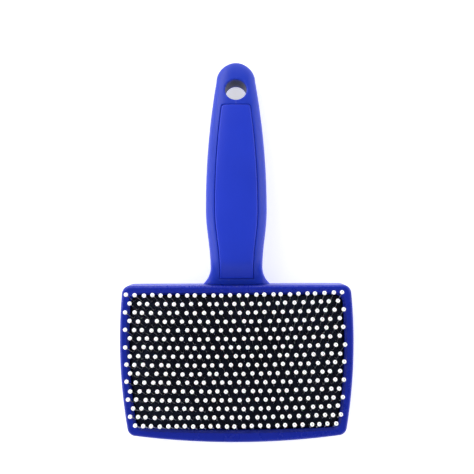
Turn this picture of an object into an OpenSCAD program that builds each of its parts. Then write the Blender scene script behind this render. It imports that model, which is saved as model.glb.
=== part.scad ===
// Slicker brush: a hollow moulded handle with a tray-shaped head, a pin pad clamped under a
// bezel frame, and staggered rows of bent wire pins with ball tips.
// The brush lies on its back. +Z is the way the pins stand, +Y runs up the handle, +X is to the right.
// The origin is the middle of the flat back of the head. Lengths are millimetres, angles degrees.

/* [Head] */
// Width of the head at its widest
head_w = 117.6; // [98:0.2:141.2]
// Origin to the edge of the head on the handle side
head_up = 39; // [32:0.5:47]
// Origin to the middle of the far edge
head_down = 40; // [33:0.1:48]
// Back of the head to the face of the frame
head_h = 15; // [14.5:0.5:20]
// Height up the head at which it is widest
widest_y = 11; // [0:1:20]
// Radius of the bowed side edges
side_r = 270; // [200:10:400]
// Radius of the bowed far edge
bow_r = 400; // [300:10:900]
// Corner radius of the head
corner_r = 4.4; // [4:0.2:8]
// Rounding of the back edges
back_round = 3.2; // [2.5:0.1:4]

/* [Frame] */
// Width of the frame's rim at the sides and on the handle side
rim_w = 4.8; // [4:0.1:6]
// Width of the frame's rim at the middle of the far edge
far_rim_w = 6.2; // [5:0.1:8]
// Radius of the opening's bowed far edge
opening_bow_r = 900; // [600:10:1500]
// Rounding of the frame's outer top edge
frame_round = 1.8; // [1:0.1:2]
// Bevel of the frame's inner top edge
frame_bevel = 1.2; // [0.6:0.1:1.6]
// Thickness of the tongue that plugs into the tray
tongue_t = 1.2; // [1:0.1:1.3]
// Depth of the tongue
tongue_h = 4.5; // [2:0.1:5.5]
// Clearance on the tongue's outer side
tongue_fit = 0.1; // [0.05:0.05:0.2]

/* [Tray] */
// Thickness of the floor of the tray
floor_t = 2.2; // [1.6:0.1:3]
// Thickness of the outer wall
wall_t = 1.6; // [1.4:0.1:1.8]
// Thickness of the inner rib that carries the edge of the rubber sheet
rib_t = 1.4; // [1.2:0.1:1.4]

/* [Pad] */
// Thickness of the foam cushion
foam_t = 6; // [4:0.5:9]
// Gap between the foam and the tray rib or the canvas and the rib
pad_gap = 0.4; // [0.3:0.05:0.8]
// Thickness of the canvas backing
canvas_t = 0.8; // [0.6:0.1:1.2]
// Thickness of the rubber sheet's clamped edge
flange_t = 1.2; // [1:0.1:1.6]
// Height of the pin field above the clamped edge
pad_rise = 2.4; // [1.5:0.1:3]
// Radial clearance of the wires in the canvas and the rubber
hole_fit = 0.05; // [0.03:0.01:0.1]

/* [Pins] */
// Number of rows of pins
rows = 16; // [12:1:18]
// Pins in a long row; the rows between have one fewer
long_row = 26; // [20:1:28]
// Opening edge to the end pins of the widest row
side_margin = 2.5; // [2:0.1:4]
// Opening edge to the first row, on the handle side
up_margin = 3; // [2.5:0.1:5]
// Opening edge to the last row
down_margin = 2.3; // [2:0.1:4]
// Diameter of the pin wire
wire_d = 0.5; // [0.35:0.01:0.6]
// Diameter of the flat head on the back of each wire
pin_head_d = 1.2; // [0.9:0.1:1.6]
// Thickness of that head
pin_head_t = 0.3; // [0.2:0.05:0.5]
// Height of the knee above the pad
knee_h = 3.7; // [2.5:0.1:6]
// Radius of the knee
knee_r = 1.5; // [1:0.1:3]
// Angle that the wire bends at the knee, towards the handle
knee_bend = 27; // [10:1:35]
// Length of the wire from the knee to the middle of its ball
upper_l = 10; // [7:0.5:13]
// Diameter of the ball tips
ball_d = 2; // [1.6:0.1:2.4]
// Radial clearance between a wire and its ball
ball_fit = 0.01; // [0.01:0.01:0.03]

/* [Unevenness of the pin bed] */
// How far the whole pattern is turned
bed_skew = 0.3; // [0:0.1:0.4]
// How far the ends of a row bend towards the handle
row_bow = 1; // [0:0.1:1]
// Narrowing of the rows furthest from the widest row
row_taper = 0.05; // [0:0.005:0.06]
// Mean turn of the bend from straight up the handle
lean_turn = 12; // [0:1:15]
// Change of that turn from the middle to the end of a row, which fans the pins out
lean_fan = 12; // [0:1:15]
// Random shift of a pin along its row, and of its tip beside it, as a share of the gap between balls
scatter_along = 0.16; // [0:0.02:0.22]
// Random shift of a pin across its row, as a share of the gap between balls
scatter_across = 0.08; // [0:0.02:0.1]

/* [Handle] */
// Edge of the head to the end of the handle
handle_l = 114; // [90:1:140]
// Width of the grip at its widest
grip_w = 31; // [26:0.5:36]
// Width of the neck
neck_w = 26.6; // [22:0.2:30]
// Edge of the head to the narrowest point of the neck
neck_l = 9; // [7:0.5:12]
// Edge of the head to the widest point of the grip
grip_l = 38; // [30:1:48]
// Radius of the sides from the grip to the end
taper_r = 400; // [340:10:700]
// Radius of the flare where the neck meets the head
flare_r = 12; // [8:0.5:16]
// Length of the rounded end
end_l = 10; // [8:0.5:12]
// Highest point of the grip above the flat back
grip_h = 18.5; // [16.5:0.5:23]
// Radius of the grip's top line towards the head
front_r = 180; // [150:10:400]
// Radius of the grip's top line towards the end
rear_r = 320; // [300:10:600]
// Length of the dip from the neck down to the head
dip_l = 13; // [8:0.5:16]
// Rise of the underside of the grip above the flat back
belly_rise = 1.5; // [0:0.1:2.5]
// Squareness of the handle's section: 2 is an ellipse
section_power = 2.8; // [2.2:0.1:3.5]
// Wall of the hollow handle
handle_wall = 2.2; // [1.8:0.1:2.6]

/* [Hang hole] */
// Diameter of the hang hole
hang_d = 10.8; // [6:0.2:11]
// End of the handle to the middle of the hole
hang_inset = 15.8; // [15:0.2:18]
// Tilt of the hole from the vertical, square to the sloping top
hang_tilt = 5; // [0:1:8]
// Depth of the countersink round both mouths
hang_sink = 0.5; // [0.2:0.1:0.8]

/* [Handle insert] */
// Side of the handle to the side of the insert
insert_margin = 4.9; // [4.4:0.1:5.6]
// Thickness of the insert
insert_t = 2; // [1.6:0.1:2.2]
// Width of the groove round the insert
groove_w = 0.1; // [0.1:0.05:0.6]
// Size of the cut corners at the far end of the insert
insert_nose = 0.8; // [0.4:0.1:2]
// Height of the insert above the handle's surface
insert_proud = 0.2; // [0:0.05:0.3]
// Width of the ledge that the insert sits on
ledge_w = 1.3; // [1:0.1:1.8]
// Thickness of that ledge
ledge_t = 1.8; // [1.4:0.1:2]
// Land between the hang hole and the insert
insert_land = 2; // [1.5:0.1:4]
// Edge of the head to the near end of the insert
insert_start = 3; // [2.5:0.1:5]
// Diameter of the insert's pegs
peg_d = 3; // [2.4:0.1:3.6]
// Length of the pegs
peg_l = 7; // [4:0.5:8]
// Number of pegs
pegs = 3; // [2:1:4]
// Radial clearance of a peg in its boss
peg_fit = 0.05; // [0.03:0.01:0.1]
// Wall of the bosses that take the pegs
boss_wall = 1.7; // [1.2:0.1:2.2]

/* [Hidden] */
$fn = 48;
eps = 0.01;
seat_gap = 0.05;
head_gap = 0.1;
boss_gap = 0.2;
seed = 7;

// Heights of the layers in the head
foam_top = floor_t + foam_t;
heads_z = foam_top + head_gap;
canvas_z = heads_z + pin_head_t;
rubber_z = canvas_z + canvas_t;
parting_z = rubber_z + flange_t;
pad_z = parting_z + pad_rise;
knee_z = pad_z + knee_h;

// The opening of the frame
opening_half_w = head_w / 2 - rim_w;
opening_up = head_up - rim_w;
opening_down = head_down - far_rim_w;

// Pitches of the pin pattern, and the row that is widest
row_pitch = (opening_up + opening_down - up_margin - down_margin) / (rows - 1);
pin_pitch = 2 * (opening_half_w - side_margin) / (long_row - 1);
row_half_l = opening_half_w - side_margin;
first_row_y = opening_up - up_margin;
widest_row = round(rows * 0.4);

// How far a tip reaches past its foot, and how far pins may stray without their balls meeting
lean_reach = knee_r * (1 - cos(knee_bend)) + upper_l * sin(knee_bend);
ball_gap = pin_pitch * (1 - row_taper) - ball_d;
scatter_x = scatter_along * ball_gap;
scatter_y = scatter_across * ball_gap;
scatter_turn = asin(scatter_along * ball_gap / lean_reach);

// Stations along the handle
start_y = head_up - back_round;
neck_y = head_up + neck_l;
grip_y = head_up + grip_l;
end_y = head_up + handle_l;
cap_y = end_y - end_l;
hang_y = end_y - hang_inset;
insert_y0 = head_up + insert_start;
insert_y1 = hang_y - hang_d / 2 - insert_land;
cavity_y0 = insert_y0 + ledge_w + groove_w + 1;
cavity_y1 = insert_y1 - ledge_w - groove_w - 1;
neck_top = parting_z - 0.2;

function two_digits(n) = str(n < 10 ? "0" : "", n);
function row_name(kind, i) = str(kind, "_row_", two_digits(i + 1));

// ---- Curves

function smooth(t) = let (u = min(max(t, 0), 1)) (1 - cos(180 * u)) / 2;
function signed_pow(v, p) = sign(v) * pow(abs(v), p);
function arc(centre, r, a0, a1, n) =
    [for (k = [0 : n]) let (a = a0 + (a1 - a0) * k / n) centre + r * [cos(a), sin(a)]];
function angle_of(v) = atan2(v.y, v.x);
function mirrored(points) = [for (k = [len(points) - 1 : -1 : 1]) [-points[k].x, points[k].y]];

// Where a circle about a meets a circle about b, on the left of the line from a to b
function meeting(a, ra, b, rb) =
    let (
        d = norm(b - a),
        u = (b - a) / d,
        along = (ra * ra - rb * rb + d * d) / (2 * d),
        off = sqrt(ra * ra - along * along)
    )
    a + along * u + off * [-u.y, u.x];

// The outline of the head, or of its opening, set in by an inset: bowed sides and far edge,
// a straight edge on the handle side, and rounded corners. It runs counterclockwise from the
// middle of the far edge.
function outline(half_w, up, down, side, bow, inset) =
    let (
        round_r = max(corner_r - inset, 0.8),
        side_c = [half_w - side, widest_y],
        side_in = side - inset,
        bow_c = [0, bow - down],
        bow_in = bow - inset,
        top_y = up - inset - round_r,
        rise = top_y - widest_y,
        top_c = [side_c.x + sqrt(pow(side_in - round_r, 2) - rise * rise), top_y],
        low_c = meeting(bow_c, bow_in - round_r, side_c, side_in - round_r),
        top_a = angle_of(top_c - side_c),
        low_a = angle_of(low_c - side_c),
        bow_a = angle_of(low_c - bow_c),
        right = concat(
            arc(bow_c, bow_in, -90, bow_a, 6),
            arc(low_c, round_r, bow_a, low_a, 5),
            arc(side_c, side_in, low_a, top_a, 9),
            arc(top_c, round_r, top_a, 90, 5)
        )
    )
    concat(right, mirrored(right));

function head_outline(inset) = outline(head_w / 2, head_up, head_down, side_r, bow_r, inset);
function opening_outline(inset) =
    outline(opening_half_w, opening_up, opening_down, side_r - rim_w, opening_bow_r, inset);
function at_height(points, z) = [for (p = points) [p.x, p.y, z]];

// Half the width of the handle, the height of its top line and of its underside, at y
function half_width(y) =
    let (
        widening = mix(neck_w / 2, grip_w / 2, smooth((y - neck_y) / (grip_y - neck_y))),
        narrowing = grip_w / 2 - pow(y - grip_y, 2) / (2 * taper_r),
        back = min(max(neck_y - y, 0), neck_l + wall_t / 2, flare_r),
        flare = flare_r - sqrt(flare_r * flare_r - back * back)
    )
    (y < grip_y ? widening : narrowing) + flare;
function mix(a, b, t) = a + (b - a) * t;
function top_line(y) = grip_h - pow(y - grip_y, 2) / (2 * (y < grip_y ? front_r : rear_r));
function top_z(y) = top_line(y)
    - (top_line(head_up) - neck_top) * (1 - smooth((y - head_up) / dip_l));
function belly_z(y) =
    let (middle = (head_up + cap_y) / 2, reach = (cap_y - head_up) / 2)
    belly_rise * max(1 - pow((y - middle) / reach, 2), 0);

// A section of the handle at y, with its sides, top and underside set in
function section(y, side_in, top_in, low_in, width_k, height_k, n) =
    let (
        high = top_z(y) - top_in,
        low = belly_z(y) + low_in,
        a = (half_width(y) - side_in) * width_k,
        b = (high - low) / 2 * height_k,
        mid = (high + low) / 2,
        p = 2 / section_power
    )
    [for (k = [0 : n - 1])
        let (t = 360 * k / n)
        [-a * signed_pow(cos(t), p), y, mid + b * signed_pow(sin(t), p)]];

// ---- Building blocks

// A closed solid through rings of points, each ring seen counterclockwise from the next
module skin(rings) {
    n = len(rings[0]);
    m = len(rings);
    sides = [for (i = [0 : m - 2], j = [0 : n - 1])
        let (k = (j + 1) % n)
        each [[i * n + j, (i + 1) * n + j, (i + 1) * n + k], [i * n + j, (i + 1) * n + k, i * n + k]]];
    first = [for (j = [0 : n - 1]) j];
    last = [for (j = [n - 1 : -1 : 0]) (m - 1) * n + j];
    polyhedron([for (ring = rings) each ring], concat(sides, [first, last]));
}

module slab(points, z0, z1) {
    translate([0, 0, z0])
    linear_extrude(z1 - z0)
    polygon(points);
}

// The outside of the handle, with its rounded end
module handle_form() {
    long_steps = 22;
    cap_steps = 6;
    cap_turn = 84;
    long = [for (k = [0 : long_steps])
        section(mix(start_y, cap_y, k / long_steps), 0, 0, 0, 1, 1, 32)];
    cap = [for (k = [1 : cap_steps])
        let (a = cap_turn * k / cap_steps, y = cap_y + end_l * sin(a))
        section(y, half_width(y) - half_width(cap_y), 0, 0, cos(a), pow(cos(a), 0.4), 32)];
    skin(concat(long, cap));
}

// The hollow inside the handle
module handle_cavity() {
    steps = 14;
    skin([for (k = [0 : steps])
        section(mix(cavity_y0, cavity_y1, k / steps), handle_wall, insert_t + ledge_t, handle_wall,
            1, 1, 24)]);
}

// The plan of the handle insert, grown by a margin
module insert_plan(grow) {
    steps = 16;
    y0 = insert_y0 - grow;
    y1 = insert_y1 + grow;
    side = [for (k = [0 : steps])
        let (y = mix(y0, y1 - insert_nose, k / steps))
        [half_width(max(y, neck_y)) - insert_margin + grow, y]];
    tip = [side[steps].x - insert_nose, y1];
    right = concat(side, [tip]);
    polygon(concat(right, [for (k = [len(right) - 1 : -1 : 0]) [-right[k].x, right[k].y]]));
}

function peg_stations() = [for (k = [0 : pegs - 1]) mix(cavity_y0, cavity_y1, (k + 0.5) / pegs)];

// ---- Pins

// Where each pin of row i stands and which way its bend turns: [x, y, turn]
function row_pins(i) =
    let (
        n = long_row - i % 2,
        pitch = pin_pitch * (1 - row_taper * pow((i - widest_row) / (rows - widest_row), 2)),
        dx = rands(-scatter_x, scatter_x, n, seed + i),
        dy = rands(-scatter_y, scatter_y, n, seed + 100 + i),
        dt = rands(-scatter_turn, scatter_turn, n, seed + 200 + i)
    )
    [for (j = [0 : n - 1])
        let (
            x = pitch * (j - (n - 1) / 2) + dx[j],
            share = x / row_half_l,
            y = first_row_y - i * row_pitch + row_bow * (share * share - 0.5) + dy[j]
        )
        [
            x * cos(bed_skew) - y * sin(bed_skew),
            y * cos(bed_skew) + x * sin(bed_skew),
            lean_turn - lean_fan * share + dt[j]
        ]];

module at_pins(i) {
    for (pin = row_pins(i))
        translate([pin.x, pin.y, 0])
        rotate(pin[2])
        children();
}

// Puts its children at the top of the knee, along the upper wire
module past_knee() {
    translate([0, knee_r * (1 - cos(knee_bend)), knee_z + knee_r * sin(knee_bend)])
    rotate([-knee_bend, 0, 0])
    children();
}

// A wire with its flat head, straight foot, knee and upper length
module bent_wire() {
    crown = sqrt(pow(ball_d / 2, 2) - pow(wire_d / 2, 2));
    translate([0, 0, heads_z])
    cylinder(d = pin_head_d, h = pin_head_t);
    translate([0, 0, heads_z])
    cylinder(d = wire_d, h = knee_z - heads_z, $fn = 24);
    translate([0, knee_r, knee_z])
    rotate([90, 0, -90])
    rotate_extrude(angle = knee_bend)
    translate([knee_r, 0])
    circle(d = wire_d, $fn = 24);
    past_knee() {
        sphere(d = wire_d + 2 * eps, $fn = 24);
        cylinder(d = wire_d, h = upper_l + crown, $fn = 24);
    }
}

// A ball moulded on the end of a wire, with a short neck on the wire
module ball_tip() {
    ball_r = ball_d / 2;
    neck = ball_r * 1.5;
    past_knee()
    translate([0, 0, upper_l])
    difference() {
        union() {
            sphere(d = ball_d);
            translate([0, 0, -neck])
            cylinder(r1 = wire_d / 2 + 0.15, r2 = ball_r * 0.85, h = neck - ball_r * 0.5);
        }
        cylinder(r = wire_d / 2 + ball_fit, h = 4 * ball_r, center = true);
    }
}

module pin_row(i) {
    color("silver")
    at_pins(i) bent_wire();
}

module tip_row(i) {
    color("white")
    at_pins(i) ball_tip();
}

// A hole for every wire
module pin_holes(z0, z1) {
    for (i = [0 : rows - 1])
        for (pin = row_pins(i))
            translate([pin.x, pin.y, z0])
            cylinder(r = wire_d / 2 + hole_fit, h = z1 - z0, $fn = 24);
}

// ---- Moulded parts

// The outside of the tray behind the head
module tray_form() {
    turns = [0, 30, 60, 90];
    base = [for (a = turns)
        at_height(head_outline(back_round * (1 - sin(a))), back_round * (1 - cos(a)))];
    skin(concat(base, [at_height(head_outline(0), parting_z)]));
}

// The rib inside the tray that carries the edge of the rubber sheet
module tray_rib() {
    difference() {
        slab(opening_outline(-rib_t), floor_t - eps, rubber_z);
        slab(opening_outline(0), floor_t - 1, rubber_z + 1);
    }
}

// The handle, hollow under the insert, with a ledge round the insert's seat
module hollow_handle() {
    difference() {
        handle_form();
        handle_cavity();
        difference() {
            translate([0, 0, -1])
            linear_extrude(grip_h + 2)
            insert_plan(groove_w);
            translate([0, 0, -insert_t - seat_gap])
            handle_form();
        }
        intersection() {
            translate([0, 0, parting_z - 4])
            linear_extrude(grip_h)
            insert_plan(-ledge_w);
            translate([-grip_w, cavity_y0, 0])
            cube([2 * grip_w, cavity_y1 - cavity_y0, 2 * grip_h]);
        }
    }
}

// Bosses that rise from the bottom wall of the handle to take the pegs
module bosses() {
    boss_d = peg_d + 2 * (peg_fit + boss_wall);
    for (y = peg_stations()) {
        low = belly_z(y) + handle_wall / 2;
        high = min(top_z(y - boss_d / 2), top_z(y + boss_d / 2)) - insert_t;
        difference() {
            translate([0, y, low])
            cylinder(d = boss_d, h = high - boss_gap - low);
            translate([0, y, high - peg_l - 1])
            cylinder(r = peg_d / 2 + peg_fit, h = peg_l + 1);
        }
    }
}

module hang_hole() {
    reach = 2 * grip_h;
    mid = (top_z(hang_y) + belly_z(hang_y)) / 2;
    mouth = mid - belly_z(hang_y);
    translate([0, hang_y, mid])
    rotate([-hang_tilt, 0, 0]) {
        cylinder(d = hang_d, h = reach, center = true);
        for (side = [0, 180])
            rotate([side, 0, 0])
            translate([0, 0, mouth - hang_sink])
            cylinder(d1 = hang_d, d2 = hang_d + 6, h = 3);
    }
}

module body_shell() {
    color("mediumblue")
    difference() {
        union() {
            tray_form();
            hollow_handle();
            bosses();
        }
        slab(head_outline(wall_t), floor_t, parting_z + 1);
        hang_hole();
    }
    color("mediumblue")
    tray_rib();
}

module handle_insert() {
    color("royalblue") {
        intersection() {
            linear_extrude(2 * grip_h)
            insert_plan(0);
            difference() {
                translate([0, 0, insert_proud])
                handle_form();
                translate([0, 0, -insert_t])
                handle_form();
            }
        }
        for (y = peg_stations())
            translate([0, y, top_z(y) - insert_t - peg_l])
            cylinder(d = peg_d, h = peg_l + insert_t / 2);
    }
}

// The bezel that clamps the rubber sheet, with the tongue that plugs into the tray
module head_frame() {
    turns = [0, 30, 60, 90];
    crown = [for (a = turns)
        at_height(head_outline(frame_round * (1 - cos(a))), head_h - frame_round * (1 - sin(a)))];
    color("blue") {
        difference() {
            skin(concat([at_height(head_outline(0), parting_z)], crown));
            slab(opening_outline(0), parting_z - 1, head_h + 1);
            skin([
                at_height(opening_outline(0), head_h - frame_bevel),
                at_height(opening_outline(-frame_bevel - eps), head_h + eps)
            ]);
        }
        difference() {
            slab(head_outline(wall_t + tongue_fit), parting_z - tongue_h, parting_z + eps);
            slab(head_outline(wall_t + tongue_fit + tongue_t), parting_z - tongue_h - 1, parting_z + 1);
            slab(opening_outline(-rib_t - tongue_fit), parting_z - tongue_h - 1, parting_z);
        }
    }
}

module pad_rubber() {
    color([0.05, 0.06, 0.1])
    difference() {
        union() {
            slab(opening_outline(pad_gap - rib_t), rubber_z, parting_z);
            slab(opening_outline(pad_gap), rubber_z, pad_z);
        }
        pin_holes(rubber_z - 1, pad_z + 1);
    }
}

module pad_canvas() {
    color("tan")
    difference() {
        slab(opening_outline(pad_gap), canvas_z, rubber_z);
        pin_holes(canvas_z - 1, rubber_z + 1);
    }
}

module foam_cushion() {
    color("khaki")
    slab(opening_outline(pad_gap), floor_t, foam_top);
}

body_shell();
handle_insert();
head_frame();
pad_rubber();
pad_canvas();
foam_cushion();
for (i = [0 : rows - 1]) {
    pin_row(i);
    tip_row(i);
}
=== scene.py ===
"""Looks of the slicker brush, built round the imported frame. Lengths in the shape code are millimetres."""
import math

import bmesh
import bpy
import mathutils.geometry
import numpy as np
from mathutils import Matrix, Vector


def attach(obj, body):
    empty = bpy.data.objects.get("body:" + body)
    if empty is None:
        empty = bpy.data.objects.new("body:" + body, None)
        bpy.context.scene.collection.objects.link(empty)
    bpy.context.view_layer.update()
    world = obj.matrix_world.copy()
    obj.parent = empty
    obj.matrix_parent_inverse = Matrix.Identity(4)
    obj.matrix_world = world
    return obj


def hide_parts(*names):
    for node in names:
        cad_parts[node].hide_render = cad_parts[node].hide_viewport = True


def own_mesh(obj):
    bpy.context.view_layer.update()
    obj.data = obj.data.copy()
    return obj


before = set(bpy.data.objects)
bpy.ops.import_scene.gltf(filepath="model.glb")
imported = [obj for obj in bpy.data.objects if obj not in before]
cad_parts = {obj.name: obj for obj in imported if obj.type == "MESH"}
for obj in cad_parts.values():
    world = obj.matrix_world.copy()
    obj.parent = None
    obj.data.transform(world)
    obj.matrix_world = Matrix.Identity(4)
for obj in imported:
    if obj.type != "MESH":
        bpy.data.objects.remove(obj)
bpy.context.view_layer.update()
MM = 0.001

# ---- Sizes, the same as the frame's

HEAD_W, HEAD_UP, HEAD_DOWN, HEAD_H = 117.6, 39, 40, 15
WIDEST_Y, SIDE_R, BOW_R, CORNER_R, BACK_ROUND = 11, 270, 400, 4.4, 3.2
RIM_W, FAR_RIM_W, OPENING_BOW_R = 4.8, 6.2, 900
FRAME_ROUND, FRAME_BEVEL = 1.8, 1.2
TONGUE_T, TONGUE_H, TONGUE_FIT = 1.2, 4.5, 0.1
FLOOR_T, WALL_T, RIB_T, PAD_GAP = 2.2, 1.6, 1.4, 0.4
FOAM_TOP, CANVAS_Z, RUBBER_Z, PARTING_Z, PAD_Z = 8.2, 8.6, 9.4, 10.6, 13.0
NECK_Y, GRIP_Y, CAP_Y, END_L = 48, 77, 143, 10
NECK_W, GRIP_W, GRIP_H, TAPER_R, FLARE_R = 26.6, 31, 18.5, 400, 12
FRONT_R, REAR_R, DIP_L, NECK_TOP, BELLY_RISE, POWER = 180, 320, 13, 10.4, 1.5, 2.8
HANG_Y, HANG_D, HANG_TILT = 137.2, 10.8, math.radians(5)
INSERT_Y0, INSERT_Y1, INSERT_MARGIN, INSERT_T, INSERT_PROUD = 42, 129.8, 4.9, 2, 0.2
GROOVE_W, NOSE = 0.1, 0.8
PEGS, PEG_R, PEG_L, PEG_MARGIN = 3, 1.5, 7, 2.4

# ---- Soft edges and fineness, which only the looks have

SOFT = 0.15  # rounding of the edges at the parting line
MID = 0.3  # where the middle of a two-step rounding lies, as a share of its radius
RIM_GAP = 0.05  # gap between the tray's rim and the frame
RIB_EDGE, RIB_GAP = 0.2, 0.02  # rounding of the rib, and how far it stays under the rubber
BEVEL_EDGE, TONGUE_EDGE = 0.35, 0.3  # rounding of the frame's bevel, chamfer of its tongue
PANEL_LIP, SEAT_LIP, HOLE_LIP = 0.55, 0.5, 0.8  # rounding of the insert, of its seat and of the hang hole
BOW_N, CORNER_N, SIDE_N, EDGE_N = 36, 14, 44, 18  # points along each stretch of half an outline
HOLE_N, PEG_N = 96, 40  # points round the hang hole and round a peg
FLAT_STEP = 5  # spacing of the spots that fill a hidden flat face
ABOVE = 30  # a height clear of the whole handle

# ---- Mesh building


def added(name, data):
    """An object of some data, linked into the scene."""
    item = bpy.data.objects.new(name, data)
    bpy.context.scene.collection.objects.link(item)
    return item


def finished(name, mesh, material, body, crease=35):
    """Makes an object of a mesh in the row frame, smooth apart from its creases, riding on a body."""
    mesh.shade_smooth()
    mesh.set_sharp_from_angle(angle=math.radians(crease))
    mesh.materials.append(material)
    piece = added(name, mesh)
    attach(piece, body)
    return piece


def new_mesh(name, points, faces):
    """A mesh from points in millimetres."""
    mesh = bpy.data.meshes.new(name)
    mesh.from_pydata((np.asarray(points, float) * MM).tolist(), [], faces)
    mesh.update()
    return mesh


def ring_faces(rings, count, closed=False):
    """Quads between rings of count points each, and optionally from the last ring back to the first."""
    faces = []
    for i in range(rings if closed else rings - 1):
        a, b = i * count, (i + 1) % rings * count
        faces += [(a + j, a + (j + 1) % count, b + (j + 1) % count, b + j) for j in range(count)]
    return faces


def skin(name, rings, closed=False):
    """A closed mesh through rings of points, capped at both ends unless the rings close on themselves."""
    count = len(rings[0])
    faces = ring_faces(len(rings), count, closed)
    if not closed:
        last = (len(rings) - 1) * count
        faces += [tuple(range(count - 1, -1, -1)), tuple(range(last, last + count))]
    mesh = new_mesh(name, np.concatenate(rings), faces)
    outward(mesh)
    return mesh


def outward(mesh):
    """Turns all faces of a closed mesh outwards."""
    bm = bmesh.new()
    bm.from_mesh(mesh)
    bmesh.ops.recalc_face_normals(bm, faces=bm.faces)
    bm.to_mesh(mesh)
    bm.free()


def joined(name, meshes):
    """One mesh out of several."""
    bm = bmesh.new()
    for mesh in meshes:
        bm.from_mesh(mesh)
    out = bpy.data.meshes.new(name)
    bm.to_mesh(out)
    bm.free()
    return out


def cut(mesh, cutters):
    """The mesh less its cutters."""
    body = added("cut_body", mesh)
    tools = [added(f"cut_tool_{k}", cutter) for k, cutter in enumerate(cutters)]
    for tool in tools:
        change = body.modifiers.new("cut", "BOOLEAN")
        change.operation, change.solver, change.object = "DIFFERENCE", "EXACT", tool
    bpy.context.view_layer.update()
    out = bpy.data.meshes.new_from_object(body.evaluated_get(bpy.context.evaluated_depsgraph_get()))
    for o in [body] + tools:
        bpy.data.objects.remove(o)
    return out


# ---- The head's outlines


def bearing(v):
    """The angle of a vector."""
    return math.atan2(v[1], v[0])


def directions(turns):
    """Unit vectors at the given angles."""
    return np.stack([np.cos(turns), np.sin(turns)], 1)


def outline(half_w, up, down, side, bow):
    """Points and outward normals of the head or of its opening, counterclockwise from the middle of
    the far edge: bowed sides and far edge, a straight edge on the handle side, rounded corners."""
    side_c, bow_c = np.array([half_w - side, WIDEST_Y]), np.array([0, bow - down])
    top_y = up - CORNER_R
    top_c = np.array([side_c[0] + math.sqrt((side - CORNER_R) ** 2 - (top_y - WIDEST_Y) ** 2), top_y])
    # The far corner's middle lies on both the bow and the side, each drawn in by the corner's radius.
    line = side_c - bow_c
    d = np.linalg.norm(line)
    u = line / d
    ra, rb = bow - CORNER_R, side - CORNER_R
    along = (ra * ra - rb * rb + d * d) / (2 * d)
    low_c = bow_c + along * u + math.sqrt(ra * ra - along * along) * np.array([-u[1], u[0]])
    top_a, low_a, bow_a = bearing(top_c - side_c), bearing(low_c - side_c), bearing(low_c - bow_c)
    arcs = [
        (bow_c, bow, -math.pi / 2, bow_a, BOW_N),
        (low_c, CORNER_R, bow_a, low_a, CORNER_N),
        (side_c, side, low_a, top_a, SIDE_N),
        (top_c, CORNER_R, top_a, math.pi / 2, CORNER_N),
    ]
    edge = np.linspace(top_c[0], 0, EDGE_N, endpoint=False)[1:]
    points, normals = [], []
    for centre, radius, start, end, count in arcs:
        out = directions(np.linspace(start, end, count, endpoint=False))
        points.append(centre + radius * out)
        normals.append(out)
    points += [[[top_c[0], up]], np.stack([edge, np.full(len(edge), up)], 1), [[0, up]]]
    normals.append(np.tile([0, 1], (len(edge) + 2, 1)))
    points, normals = np.concatenate(points), np.concatenate(normals)
    mirror = np.array([-1, 1])
    return (
        np.concatenate([points, points[-2:0:-1] * mirror]),
        np.concatenate([normals, normals[-2:0:-1] * mirror]),
    )


HEAD = outline(HEAD_W / 2, HEAD_UP, HEAD_DOWN, SIDE_R, BOW_R)
OPENING = outline(HEAD_W / 2 - RIM_W, HEAD_UP - RIM_W, HEAD_DOWN - FAR_RIM_W, SIDE_R - RIM_W, OPENING_BOW_R)


def ring_at(shape, inset, z):
    """The outline drawn in by an inset, at a height."""
    points, normals = shape
    return np.column_stack([points - normals * inset, np.full(len(points), z)])


def rings_at(shape, profile):
    """A ring for each inset and height of a profile."""
    return [ring_at(shape, inset, z) for inset, z in profile]


def fillet(radius, steps, at):
    """Insets and heights round a convex edge, from its side up to its top."""
    a = np.linspace(0, math.pi / 2, steps)
    return [(at[0] + radius * (1 - math.cos(t)), at[1] + radius * math.sin(t)) for t in a]


# ---- Wide flat faces, filled with evenly spread spots instead of long thin triangles


def honeycomb(step):
    """Points of a triangular grid over the whole opening, in millimetres."""
    reach_x, reach_y = HEAD_W / 2, HEAD_UP + 2
    rows = np.arange(-reach_y, reach_y, step * math.sqrt(3) / 2)
    columns = np.arange(-reach_x, reach_x, step)
    return np.array([(x + step / 2 * (k % 2), y) for k, y in enumerate(rows) for x in columns])


def distances(a, b):
    """From each point of a to its nearest point of b."""
    out, batch = np.empty(len(a)), 2000
    for k in range(0, len(a), batch):
        out[k : k + batch] = np.sqrt(((a[k : k + batch, None, :] - b[None, :, :]) ** 2).sum(2)).min(1)
    return out


def inside(points, rim, clear):
    """Those points that lie inside a convex rim and at least clear of it."""
    edge = np.roll(rim, -1, 0) - rim
    keep = np.ones(len(points), bool)
    for p, e in zip(rim, edge):
        length = np.linalg.norm(e)
        if length > 1e-6:
            keep &= (e[0] * (points[:, 1] - p[1]) - e[1] * (points[:, 0] - p[0])) / length > clear
    return points[keep]


def capped(name, rings, low, high):
    """A closed mesh through rings of points, with its first and last ring filled through given spots."""
    count, inside_edges, near = len(rings[0]), 1, 1e-6
    edges = [(j, (j + 1) % count) for j in range(count)]
    points, faces = list(rings), ring_faces(len(rings), count)
    for k, spots in ((0, low), (len(rings) - 1, high)):
        flat = [Vector(p) for p in np.concatenate([rings[k], spots])[:, :2]]
        made, _, tris, *_ = mathutils.geometry.delaunay_2d_cdt(flat, edges, [], inside_edges, near)
        assert len(made) == len(flat)
        # The ring's own points keep their numbers; the spots come after all points there are so far.
        rim, start = k * count, sum(len(p) for p in points) - count
        faces += [tuple(v + (rim if v < count else start) for v in f) for f in tris]
        points.append(spots)
    mesh = new_mesh(name, np.concatenate(points), faces)
    outward(mesh)
    return mesh


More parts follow.
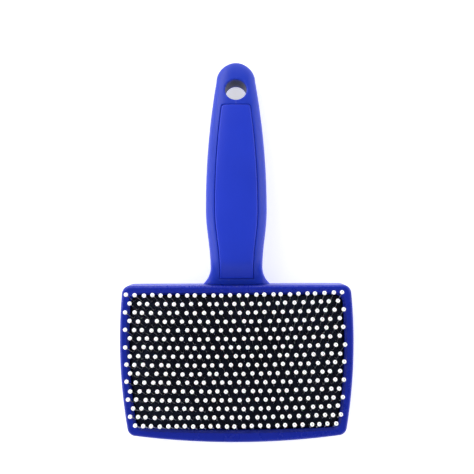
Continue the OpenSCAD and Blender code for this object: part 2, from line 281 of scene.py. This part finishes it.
def flat_spots(ring, step):
    """Evenly spread spots inside a flat ring, at its height."""
    spots = inside(honeycomb(step), ring[:, :2], step / 3)
    return np.column_stack([spots, np.full(len(spots), ring[0, 2])])


# ---- The handle's form


def smooth(t):
    """A ramp from 0 to 1 that starts and ends level."""
    return (1 - np.cos(np.pi * np.clip(t, 0, 1))) / 2


def half_width(y):
    """Half the handle's width at y, without its rounded end."""
    y = np.asarray(y, float)
    widening = NECK_W / 2 + (GRIP_W - NECK_W) / 2 * smooth((y - NECK_Y) / (GRIP_Y - NECK_Y))
    narrowing = GRIP_W / 2 - (y - GRIP_Y) ** 2 / (2 * TAPER_R)
    back = np.clip(NECK_Y - y, 0, NECK_Y - HEAD_UP + WALL_T / 2)
    return np.where(y < GRIP_Y, widening, narrowing) + FLARE_R - np.sqrt(FLARE_R**2 - back**2)


def top_line(y):
    """The arch of the handle's top, without the dip at the neck."""
    return GRIP_H - (y - GRIP_Y) ** 2 / (2 * np.where(y < GRIP_Y, FRONT_R, REAR_R))


def top_z(y):
    """Height of the handle's top along its middle."""
    y = np.asarray(y, float)
    return top_line(y) - (top_line(np.asarray(HEAD_UP)) - NECK_TOP) * (1 - smooth((y - HEAD_UP) / DIP_L))


def belly_z(y):
    """Height of the handle's underside along its middle."""
    middle, reach = (HEAD_UP + CAP_Y) / 2, (CAP_Y - HEAD_UP) / 2
    return BELLY_RISE * np.maximum(1 - ((np.asarray(y, float) - middle) / reach) ** 2, 0)


def section_sizes(y):
    """Half width, half height and middle height of the handle at y, its rounded end included."""
    y = np.asarray(y, float)
    cap = np.sqrt(np.maximum(1 - (np.maximum(y - CAP_Y, 0) / END_L) ** 2, 0))
    low, high = belly_z(y), top_z(y)
    a = np.where(y > CAP_Y, half_width(CAP_Y) * cap, half_width(y))
    return a, (high - low) / 2 * cap**0.4, (high + low) / 2


def surface(x, y, side=1):
    """Height of the handle's top (side 1) or underside (side -1) at x, y."""
    a, b, mid = section_sizes(y)
    share = np.clip(np.abs(x) / np.maximum(a, 1e-6), 0, 1)
    return mid + side * b * (1 - share**POWER) ** (1 / POWER)


def section_turns(quarter):
    """Turns that space points evenly round a section."""
    fine, p = np.linspace(0, math.pi / 2, 4001), 2 / POWER
    x, z = GRIP_W / 2 * np.cos(fine) ** p, GRIP_H / 2 * np.sin(fine) ** p
    run = np.concatenate([[0], np.cumsum(np.hypot(np.diff(x), np.diff(z)))])
    t = np.interp(np.linspace(0, run[-1], quarter + 1), run, fine)
    back = t[::-1]
    return np.concatenate([t[:-1], math.pi - back[:-1], math.pi + t[:-1], 2 * math.pi - back[:-1]])


def handle_form():
    """The solid handle: superelliptic sections from inside the head to the rounded end."""
    turns = section_turns(30)
    p = 2 / POWER
    c, s = np.cos(turns), np.sin(turns)
    unit_x, unit_z = np.sign(c) * np.abs(c) ** p, np.sign(s) * np.abs(s) ** p
    phi = np.linspace(0, math.radians(87), 26)[1:]
    stations = np.concatenate([
        np.linspace(HEAD_UP - BACK_ROUND, NECK_Y, 30, endpoint=False),
        np.linspace(NECK_Y, CAP_Y, 130),
        CAP_Y + END_L * np.sqrt(1 - np.cos(phi) ** 5),
    ])
    rings = []
    for y in stations:
        a, b, mid = section_sizes(y)
        rings.append(np.column_stack([-a * unit_x, np.full(len(unit_x), y), mid + b * unit_z]))
    return skin("handle_form", rings)


def insert_outline(grow):
    """Points of the insert's plan, grown by a margin, counterclockwise, with cut corners at the far end."""
    y0, y1 = INSERT_Y0 - grow, INSERT_Y1 + grow
    y = np.linspace(y0, y1 - NOSE, 90)
    x = half_width(np.maximum(y, NECK_Y)) - INSERT_MARGIN + grow
    ends = np.linspace(0, 1, 12)
    right = np.column_stack([x, y])
    top = np.column_stack([np.interp(ends, [0, 1], [x[-1] - NOSE, 0]), np.full(len(ends), y1)])
    low = np.column_stack([x[0] * ends[:-1], np.full(len(ends) - 1, y0)])
    half = np.concatenate([low, right, top])
    return np.concatenate([half, half[-2:0:-1] * [-1, 1]])


def pocket_cutter():
    """What the insert's seat takes out of the handle: straight sides, with a rounded lip at the top."""
    below, past_lip, clear = 0.05, (1.5, 0.5), 4
    turns = np.radians([15, 30, 45, 60, 72])
    steps = [(GROOVE_W, -INSERT_T - below), (GROOVE_W, -SEAT_LIP)]
    steps += [(GROOVE_W + SEAT_LIP * (1 - math.cos(t)), SEAT_LIP * (math.sin(t) - 1)) for t in turns]
    wide, rise = steps[-1][0] + past_lip[0], steps[-1][1] + past_lip[1]
    rings = []
    for grow, dz in steps + [(wide, rise), (wide, clear)]:
        flat = insert_outline(grow)
        rings.append(np.column_stack([flat, surface(flat[:, 0], flat[:, 1]) + dz]))
    floor = rings[0]
    seat = surface(half_width(floor[:, 1]) - INSERT_MARGIN, floor[:, 1]) - INSERT_T
    floor[:, 2] = np.minimum(floor[:, 2], seat)
    return skin("pocket", rings)


def hole_cutter():
    """What the hang hole takes out of the handle: a bore with both mouths rounded over."""
    phi = np.linspace(0, 2 * math.pi, HOLE_N, endpoint=False)
    _, _, mid = section_sizes(HANG_Y)
    tilt_c, tilt_s = math.cos(HANG_TILT), math.sin(HANG_TILT)
    radius, past_lip, clear = HANG_D / 2, (2.5, 0.8), 6

    def placed(r, h):
        """A ring of radius r round the tilted bore, h along it from the handle's middle."""
        x, v = r * np.cos(phi), r * np.sin(phi)
        return np.column_stack([x, HANG_Y + v * tilt_c + h * tilt_s, mid - v * tilt_s + h * tilt_c])

    def mouth(side):
        """Where the lip's outer edge meets the handle, found in a few steps."""
        h = np.zeros(HOLE_N)
        for _ in range(4):
            p = placed(radius + HOLE_LIP, h)
            h = h + (surface(p[:, 0], p[:, 1], side) - p[:, 2]) / tilt_c
        return h

    rings = []
    turns = np.radians([0, 12, 24, 36, 48, 60, 72])
    for side in (-1, 1):
        edge = mouth(side)
        steps = []
        for t in turns:
            steps.append((radius + HOLE_LIP * (1 - math.cos(t)), edge - side * HOLE_LIP * (1 - math.sin(t))))
        steps.append((steps[-1][0] + past_lip[0], steps[-1][1] + side * past_lip[1]))
        steps.append((steps[-1][0], steps[-1][1] + side * clear))
        made = [placed(r, h) for r, h in steps]
        rings += made[::-1] if side < 0 else made
    return skin("hang_hole", rings)


# ---- Procedural materials


class Nodes:
    """Short names for building a node material whose constants sit on the shader's own sockets."""

    def __init__(self, name, colour, roughness, **values):
        self.material = bpy.data.materials.new(name)
        self.material.use_nodes = True
        self.tree = self.material.node_tree
        self.shader = self.tree.nodes["Principled BSDF"]
        self.set("Base Color", (*colour, 1))
        self.set("Roughness", roughness)
        for key, value in values.items():
            self.set(key.replace("_", " "), value)
        self.place = self.tree.nodes.new("ShaderNodeTexCoord").outputs["Object"]

    def set(self, socket, value):
        self.shader.inputs[socket].default_value = value

    def link(self, source, target):
        self.tree.links.new(source, target)

    def noise(self, scale, detail=3, rough=0.5, stretch=None):
        node = self.tree.nodes.new("ShaderNodeTexNoise")
        node.inputs["Scale"].default_value = scale
        node.inputs["Detail"].default_value = detail
        node.inputs["Roughness"].default_value = rough
        self.link(self.stretched(stretch), node.inputs["Vector"])
        return node.outputs["Fac"]

    def stretched(self, stretch):
        if stretch is None:
            return self.place
        node = self.tree.nodes.new("ShaderNodeMapping")
        node.inputs["Scale"].default_value = stretch
        self.link(self.place, node.inputs["Vector"])
        return node.outputs["Vector"]

    def cells(self, scale):
        node = self.tree.nodes.new("ShaderNodeTexVoronoi")
        node.inputs["Scale"].default_value = scale
        self.link(self.place, node.inputs["Vector"])
        return node.outputs["Distance"]

    def span(self, source, low, high, new_low, new_high):
        node = self.tree.nodes.new("ShaderNodeMapRange")
        for socket, value in zip(("From Min", "From Max", "To Min", "To Max"), (low, high, new_low, new_high)):
            node.inputs[socket].default_value = value
        self.link(source, node.inputs["Value"])
        return node.outputs["Result"]

    def math(self, operation, a, b):
        node = self.tree.nodes.new("ShaderNodeMath")
        node.operation = operation
        for socket, value in zip(node.inputs, (a, b)):
            if isinstance(value, (int, float)):
                socket.default_value = value
            else:
                self.link(value, socket)
        return node.outputs["Value"]

    def edges(self, low, high):
        """0 on flat faces, rising to 1 along convex edges."""
        return self.span(self.tree.nodes.new("ShaderNodeNewGeometry").outputs["Pointiness"], low, high, 0, 1)

    def unshaded_by_ao(self, reach, low, high, local):
        """Painted shade: 1 on open faces, falling to 0 in bores and corners that ambient occlusion finds shut
        in.
        """
        node = self.tree.nodes.new("ShaderNodeAmbientOcclusion")
        node.only_local, node.samples = local, 8
        node.inputs["Distance"].default_value = reach
        return self.span(node.outputs["AO"], low, high, 0, 1)

    def mix(self, factor, a, b):
        """A blend of two colours. The mix node's sockets share their names, so they go by number."""
        node = self.tree.nodes.new("ShaderNodeMix")
        node.data_type = "RGBA"
        for socket, value in ((node.inputs[0], factor), (node.inputs[6], a), (node.inputs[7], b)):
            if isinstance(value, (int, float, tuple)):
                socket.default_value = (*value, 1) if isinstance(value, tuple) else value
            else:
                self.link(value, socket)
        return node.outputs[2]

    def colour(self, source):
        self.link(source, self.shader.inputs["Base Color"])

    def roughness(self, source):
        self.link(source, self.shader.inputs["Roughness"])

    def bump(self, height, distance, strength=1, before=None):
        node = self.tree.nodes.new("ShaderNodeBump")
        node.inputs["Distance"].default_value = distance
        node.inputs["Strength"].default_value = strength
        self.link(height, node.inputs["Height"])
        if before is not None:
            self.link(before, node.inputs["Normal"])
        self.link(node.outputs["Normal"], self.shader.inputs["Normal"])
        return node.outputs["Normal"]


def moulded_plastic(name, colour, roughness, grain, shaded, open_at, local=True):
    """Glossy moulded plastic: slow colour drift, faint flow lines, handling haze and scuffed edges.
    Painted shade: ambient occlusion darkens recesses and weakens their reflection, most where `shaded` of the
    surroundings or less is open, and not at all from `open_at` on."""
    m = Nodes(name, colour, roughness, IOR=1.49, Specular_IOR_Level=0.5)
    # Painted shade: how far occlusion is looked for, and how dark the shaded tint goes.
    shade_reach, painted_shade_tint, scuff_tint = 0.014, 0.15, 0.25

    def tint(k):
        return tuple(min(c * k, 1) for c in colour)

    drift = m.span(m.noise(22, 4), 0.3, 0.7, 0, 1)
    flow = m.span(m.noise(60, 3, stretch=(3, 0.35, 1)), 0.35, 0.65, 0, 0.35)
    base = m.mix(flow, m.mix(drift, tint(0.93), tint(1.06)), tint(0.98))
    # Painted shade: recesses such as the hang hole and the insert's groove get a dark tint and a weaker
    # reflection.
    unshaded = m.unshaded_by_ao(shade_reach, shaded, open_at, local)
    base = m.mix(unshaded, tint(painted_shade_tint), base)
    m.link(m.span(unshaded, 0, 1, 0.1, 0.36), m.shader.inputs["Specular IOR Level"])
    worn = m.math("MULTIPLY", m.edges(0.52, 0.62), m.span(m.noise(900, 4, 0.7), 0.45, 0.7, 0, 0.35))
    m.colour(m.mix(worn, base, tuple(c * 0.6 + scuff_tint for c in colour)))
    haze = m.span(m.noise(90, 5, 0.65), 0.35, 0.75, -0.04, 0.07)
    m.roughness(m.math("ADD", m.math("ADD", haze, worn), roughness))
    first = m.bump(m.noise(45, 2), 0.00006, 0.5)
    m.bump(m.noise(2600, 2), grain, 1, first)
    return m.material


def rubber_material():
    """Black rubber: bloom in patches, a rough skin and fine pits."""
    m = Nodes("black_rubber", (0.003, 0.005, 0.014), 0.6, IOR=1.45, Specular_IOR_Level=0.15)
    bloom = m.span(m.noise(120, 5, 0.6), 0.35, 0.75, 0, 1)
    m.colour(m.mix(bloom, (0.002, 0.003, 0.01), (0.006, 0.009, 0.024)))
    m.roughness(m.span(m.noise(300, 4), 0.3, 0.7, 0.45, 0.68))
    first = m.bump(m.noise(1400, 3, 0.6), 0.00005, 1)
    m.bump(m.cells(4200), 0.00002, 0.7, first)
    return m.material


def canvas_material():
    """Undyed cloth: two crossed sets of threads."""
    m = Nodes("canvas_weave", (0.5, 0.45, 0.36), 0.9, Sheen_Weight=0.3)
    threads = []
    for along in ("X", "Y"):
        node = m.tree.nodes.new("ShaderNodeTexWave")
        node.bands_direction = along
        node.inputs["Scale"].default_value = 330
        node.inputs["Distortion"].default_value = 0.6
        node.inputs["Detail"].default_value = 2
        m.link(m.place, node.inputs["Vector"])
        threads.append(node.outputs["Fac"])
    weave = m.math("MULTIPLY", *threads)
    m.colour(m.mix(weave, (0.3, 0.26, 0.19), (0.56, 0.51, 0.41)))
    m.roughness(m.span(m.noise(800, 3), 0.3, 0.7, 0.82, 0.97))
    m.bump(weave, 0.00012, 1)
    return m.material


def foam_material():
    """Pale yellow foam with open pores."""
    m = Nodes("open_foam", (0.62, 0.57, 0.42), 0.95, Sheen_Weight=0.15)
    pores = m.cells(1300)
    m.colour(m.mix(m.span(pores, 0.1, 0.6, 0, 1), (0.36, 0.32, 0.22), (0.68, 0.63, 0.48)))
    m.roughness(m.span(m.noise(400, 3), 0.3, 0.7, 0.88, 1))
    m.bump(pores, 0.0004, 1)
    return m.material


def steel_material():
    """Steel wire with fine lines along it from drawing."""
    m = Nodes("steel_wire", (0.62, 0.63, 0.65), 0.3, Metallic=1.0)
    drawn = m.noise(3000, 3, stretch=(1, 1, 0.05))
    m.colour(m.mix(m.span(drawn, 0.3, 0.7, 0, 1), (0.5, 0.51, 0.53), (0.74, 0.75, 0.77)))
    m.roughness(m.span(drawn, 0.3, 0.7, 0.22, 0.42))
    m.bump(drawn, 0.000008, 1)
    return m.material


def tip_material():
    """White moulded balls. They give off a little light, to come out as white as in the photo."""
    m = Nodes("white_tip", (0.87, 0.87, 0.87), 0.28, IOR=1.5, Subsurface_Weight=0.12, Subsurface_Scale=0.0006,
              Emission_Color=(1, 1, 1, 1), Emission_Strength=0.3)
    drift = m.span(m.noise(260, 2), 0.35, 0.65, 0, 1)
    m.colour(m.mix(drift, (0.83, 0.83, 0.82), (0.9, 0.9, 0.91)))
    m.roughness(m.span(m.noise(900, 3), 0.3, 0.7, 0.2, 0.36))
    m.bump(m.noise(1500, 2), 0.00001, 1)
    return m.material


SHELL = moulded_plastic("shell_blue", (0.014, 0.05, 0.62), 0.34, 0.000006, 0.35, 0.8)
INSERT = moulded_plastic("insert_blue", (0.016, 0.052, 0.72), 0.38, 0.000008, 0.3, 0.75)
# The frame's occlusion also counts the pins, so it paints shade along the frame's inner edge.
FRAME = moulded_plastic("frame_blue", (0.006, 0.024, 0.47), 0.28, 0.000006, 0.35, 1, local=False)
RUBBER, CANVAS, FOAM = rubber_material(), canvas_material(), foam_material()
STEEL, TIP = steel_material(), tip_material()

# ---- Moulded pieces


def tray():
    """The tray of the shell: rounded back, outer wall, floor and the rib that carries the rubber sheet."""
    rim, inner_edge, floor_round = PARTING_Z - RIM_GAP, 0.1, 0.5
    turns = np.linspace(0, math.pi / 2, 12)
    profile = [(BACK_ROUND + 0.3, 0)]
    profile += [(BACK_ROUND * (1 - math.sin(t)), BACK_ROUND * (1 - math.cos(t))) for t in turns]
    profile += [(0, PARTING_Z - 2), (0, rim - SOFT), (SOFT * MID, rim - SOFT * MID), (SOFT, rim)]
    profile += [(WALL_T - inner_edge, rim), (WALL_T, rim - inner_edge), (WALL_T, FLOOR_T + floor_round)]
    profile += [(WALL_T + floor_round * MID, FLOOR_T + floor_round * MID), (WALL_T + floor_round, FLOOR_T)]
    rings = rings_at(HEAD, profile)
    body = capped("tray", rings, flat_spots(rings[0], FLAT_STEP), flat_spots(rings[-1], FLAT_STEP))
    top, shoulder = RUBBER_Z - RIB_GAP, RUBBER_Z - RIB_EDGE
    rib = [(-RIB_T, FLOOR_T), (-RIB_T, shoulder), (-RIB_T + RIB_EDGE, top)]
    rib += [(-RIB_EDGE, top), (0, shoulder), (0, FLOOR_T)]
    return body, skin("rib", rings_at(OPENING, rib), closed=True)


def shell():
    """The handle, with the insert's seat and the hang hole cut out, and the tray."""
    room = skin("inside", rings_at(HEAD, [(WALL_T, FLOOR_T), (WALL_T, ABOVE)]))
    handle = cut(handle_form(), [pocket_cutter(), hole_cutter(), room])
    mesh = joined("brush_shell", [handle, *tray()])
    piece = finished("brush_shell", mesh, SHELL, "brush", 38)
    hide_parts("body_shell")


def panel():
    """The inlaid panel: it follows the handle's top, a little proud of it, with rounded edges all round."""

    def drop(distance):
        """How far the rounded edge lies below the face, at a distance from the panel's edge."""
        return PANEL_LIP - np.sqrt(np.maximum(PANEL_LIP**2 - np.maximum(PANEL_LIP - distance, 0) ** 2, 0))

    rounds = PANEL_LIP * (1 - np.cos(np.linspace(0, math.pi / 2, 6)))
    ends = np.concatenate([rounds, np.linspace(rounds[-1], NOSE, 5)[1:]])
    middle = np.linspace(INSERT_Y0 + NOSE, INSERT_Y1 - NOSE, 120)[1:-1]
    stations = np.concatenate([INSERT_Y0 + ends, middle, (INSERT_Y1 - ends)[::-1]])
    across = np.concatenate([rounds, [PANEL_LIP * 1.3]])
    rings = []
    for y in stations:
        cut_corner = min(max(y - (INSERT_Y1 - NOSE), 0), NOSE)
        w = half_width(max(y, NECK_Y)) - INSERT_MARGIN - cut_corner
        inner = np.linspace(w - across[-1], -w + across[-1], 25)[1:-1]
        x = np.concatenate([w - across, inner, -(w - across)[::-1]])
        side = np.concatenate([drop(across), np.zeros(len(inner)), drop(across)[::-1]])
        end = drop(min(y - INSERT_Y0, INSERT_Y1 - y))
        z = surface(x, y) + INSERT_PROUD - np.maximum(side, end)
        under = surface(w, y) - INSERT_T
        low = np.array([[-w, y, under], [w, y, under]])
        rings.append(np.concatenate([np.column_stack([x, np.full(len(x), y), z]), low]))
    return skin("panel", rings)


def peg(y):
    """A peg of the insert with a rounded end, let into the panel above it."""
    base, into = float(top_z(y)) - INSERT_T, 0.5
    end = base - PEG_L
    steps = [(PEG_R - 0.5, end), (PEG_R - 0.15, end + 0.1), (PEG_R, end + 0.5), (PEG_R, base + into)]
    around = directions(np.linspace(0, 2 * math.pi, PEG_N, endpoint=False))
    return skin("peg", [np.column_stack([r * around + [0, y], np.full(PEG_N, h)]) for r, h in steps])


def insert():
    """The inlaid panel of the handle and its pegs."""
    first, last = INSERT_Y0 + PEG_MARGIN, INSERT_Y1 - PEG_MARGIN
    pegs = [peg(first + (last - first) * (k + 0.5) / PEGS) for k in range(PEGS)]
    mesh = joined("grip_insert", [panel(), *pegs])
    piece = finished("grip_insert", mesh, INSERT, "brush")
    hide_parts("handle_insert")


def head_frame():
    """The bezel: rounded outer edge, soft inner bevel, and the tongue that plugs into the tray."""
    base = HEAD_H - FRAME_ROUND
    side = [(SOFT, PARTING_Z), (SOFT * MID, PARTING_Z + SOFT * MID), (0, PARTING_Z + SOFT), (0, base - 1)]
    side += fillet(FRAME_ROUND, 14, (0, base)) + [(FRAME_ROUND + 0.15, HEAD_H)]
    turns = np.linspace(0, math.pi / 4, 6)
    reach = BEVEL_EDGE * math.tan(math.pi / 8)
    start, end = -FRAME_BEVEL - reach, HEAD_H - FRAME_BEVEL - reach
    bevel = [(start - 0.15, HEAD_H)]
    bevel += [(start + BEVEL_EDGE * math.sin(t), HEAD_H - BEVEL_EDGE * (1 - math.cos(t))) for t in turns]
    bevel += [(-BEVEL_EDGE * (1 - math.sin(t)), end + BEVEL_EDGE * math.cos(t)) for t in turns + math.pi / 4]
    bevel += [(0, PARTING_Z + 1), (0, PARTING_Z + 0.1), (-0.1, PARTING_Z)]
    outer, low = WALL_T + TONGUE_FIT, PARTING_Z - TONGUE_H
    inner = outer + TONGUE_T
    tongue = [(inner, PARTING_Z), (inner, low + TONGUE_EDGE), (inner - TONGUE_EDGE, low)]
    tongue += [(outer + TONGUE_EDGE, low), (outer, low + TONGUE_EDGE), (outer, PARTING_Z)]
    rings = rings_at(HEAD, side) + rings_at(OPENING, bevel) + rings_at(HEAD, tongue)
    piece = finished("bezel_frame", skin("bezel_frame", rings, closed=True), FRAME, "brush")
    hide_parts("head_frame")


# ---- The pin bed


def feet():
    """Where each wire goes through the rubber, read off the frame's pins, in millimetres."""
    places = []
    for name, node in sorted(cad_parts.items()):
        if not name.startswith("pin_row"):
            continue
        co = np.array([v.co for v in node.data.vertices]) / MM
        heads = co[co[:, 2] < CANVAS_Z + 0.01]
        heads = heads[np.argsort(heads[:, 0])]
        for group in np.split(heads, np.nonzero(np.diff(heads[:, 0]) > 1)[0] + 1):
            places.append((group[:, :2].max(0) + group[:, :2].min(0)) / 2)
    return np.array(places)


def bed_layer(name, profile, spots, height):
    """A closed layer of the bed: rings by (inset, z) up the side, and a top through spots whose
    height(points, distance from the rim) says how far they stand above it."""
    rings, clear = rings_at(OPENING, profile), 0.25
    rim = rings[-1][:, :2]
    spots = inside(spots, rim, clear)
    top = np.column_stack([spots, profile[-1][1] + height(spots, distances(spots, rim))])
    return capped(name, rings, flat_spots(rings[0], FLAT_STEP), top)


def rubber():
    """The rubber sheet: a clamped edge, and a field drawn in round each wire and swelling between them."""
    wires, collar_radii, apart = feet(), (0.3, 0.55, 0.95), 1.35
    turns = np.linspace(0, 2 * math.pi, 10, endpoint=False)
    collars = [wires + r * np.array([math.cos(t + r), math.sin(t + r)]) for r in collar_radii for t in turns]
    grid = honeycomb(1.1)
    spots = np.concatenate([wires, *collars, grid[distances(grid, wires) > apart]])

    def height(points, from_rim):
        d = distances(points, wires)
        dimple = -0.45 * np.exp(-((d / 0.34) ** 2))
        lip = 0.1 * np.exp(-(((d - 0.7) / 0.3) ** 2))
        swell = 0.22 * smooth((d - 0.8) / 1.4)
        return (dimple + lip + swell) * smooth(from_rim / 1.2)

    clamped = PAD_GAP - RIB_T
    profile = [(PAD_GAP, RUBBER_Z + 0.01), (clamped, RUBBER_Z + 0.02), (clamped, PARTING_Z - 0.04)]
    profile += [(PAD_GAP, PARTING_Z - 0.02)] + fillet(0.5, 6, (PAD_GAP, PAD_Z - 0.7))
    mesh = bed_layer("rubber_sheet", profile, spots, height)
    piece = finished("rubber_sheet", mesh, RUBBER, "brush", 60)
    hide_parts("pad_rubber")
    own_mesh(piece)


def canvas():
    """The woven backing that holds the heads of the wires, its surface rippled by the weave's tension."""

    def height(points, from_rim):
        return 0.05 * np.sin(points[:, 0] / 1.9) * np.sin(points[:, 1] / 1.7) * smooth(from_rim / 2) - 0.04

    profile = [(PAD_GAP + 0.1, CANVAS_Z + 0.02), (PAD_GAP, CANVAS_Z + 0.15)]
    profile += [(PAD_GAP, RUBBER_Z - 0.2), (PAD_GAP + 0.1, RUBBER_Z - 0.06)]
    mesh = bed_layer("canvas_backing", profile, honeycomb(1.6), height)
    piece = finished("canvas_backing", mesh, CANVAS, "pin_bed", 60)
    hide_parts("pad_canvas")


def foam():
    """The foam cushion: a cut block whose sides draw in a little and whose top is crowned and uneven."""

    def height(points, from_rim):
        crown = 0.28 * smooth(from_rim / 7)
        return crown + 0.04 * np.sin(points[:, 0] * 0.9 + 1) * np.cos(points[:, 1] * 1.1)

    top, foot, edge, waist, steps = FOAM_TOP - 0.34, 0.5, 0.6, 0.35, 8
    straight = top - FLOOR_T - foot - edge
    profile = [(PAD_GAP + 0.9, FLOOR_T), (PAD_GAP + 0.3, FLOOR_T + 0.1), (PAD_GAP, FLOOR_T + foot)]
    for k in range(1, steps):
        profile.append((PAD_GAP + waist * math.sin(math.pi * k / steps), FLOOR_T + foot + straight * k / steps))
    profile += fillet(edge, 6, (PAD_GAP, top - edge))
    mesh = bed_layer("foam_block", profile, honeycomb(2.2), height)
    piece = finished("foam_block", mesh, FOAM, "brush", 60)
    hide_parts("foam_cushion")
    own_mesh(piece)


# ---- Build

shell()
insert()
head_frame()
rubber()
canvas()
foam()

for name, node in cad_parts.items():
    if name.startswith(("pin_row", "tip_row")):
        for s in node.material_slots:
            s.material = STEEL if name.startswith("pin_row") else TIP

# ---- Stage, light and camera


def stage_floor():
    """A round studio floor that curves up into a wall, so that no view meets an edge."""
    flat, bend, wall, around, middle_y, sink = 2200, 900, 1800, 72, 50, 0.02
    turns = np.linspace(0, 2 * math.pi, around, endpoint=False)
    rise = [(flat + bend * math.sin(t), bend * (1 - math.cos(t))) for t in np.linspace(0, math.pi / 2, 13)]
    profile = [(flat * k / 10, 0) for k in range(1, 10)] + rise + [(flat + bend, wall)]
    rings = [
        np.column_stack([r * directions(turns) + [0, middle_y], np.full(around, z - sink)]) for r, z in profile
    ]
    faces = [tuple(range(around))] + [f[::-1] for f in ring_faces(len(rings), around)]
    mesh = new_mesh("floor", np.concatenate(rings), faces)
    mesh.shade_smooth()
    m = Nodes("pale_floor", (0.9, 0.9, 0.9), 0.8, Specular_IOR_Level=0.1,
              Emission_Color=(1, 1, 1, 1), Emission_Strength=0.6)
    m.colour(m.mix(m.noise(3, 2), (0.89, 0.89, 0.89), (0.91, 0.91, 0.91)))
    mesh.materials.append(m.material)
    floor = added("floor", mesh)


def area_light(name, place, aim, size, power):
    """A square light at a place, turned towards an aim, in metres and watts."""
    lamp = bpy.data.lights.new(name, "AREA")
    lamp.energy, lamp.size = power, size
    light = added(name, lamp)
    light.location = place
    light.rotation_euler = (Vector(aim) - Vector(place)).to_track_quat("-Z", "Y").to_euler()


stage_floor()
area_light("key", (-0.75, 1.0, 0.7), (0, 0.03, 0), 0.9, 6)
area_light("fill_left", (-1.1, -0.1, 0.5), (0, 0.05, 0), 0.7, 2)
area_light("fill_right", (1.1, 0.3, 0.5), (0, 0.05, 0), 0.7, 1.6)

world = bpy.data.worlds.new("studio")
bpy.context.scene.world = world
world.use_nodes = True
sky = world.node_tree.nodes["Background"].inputs
sky["Color"].default_value = (1, 1, 1, 1)
sky["Strength"].default_value = 0.3

camera = added("camera", bpy.data.cameras.new("camera"))
camera.location = (0.0003, 0.0632, 0.28)
camera.rotation_euler = (0, 0, math.radians(-0.22))
camera.data.sensor_width, camera.data.lens = 36, 40.25
camera.data.clip_start, camera.data.clip_end = 0.01, 20
bpy.context.scene.camera = camera
bpy.context.scene.view_settings.view_transform = "Standard"
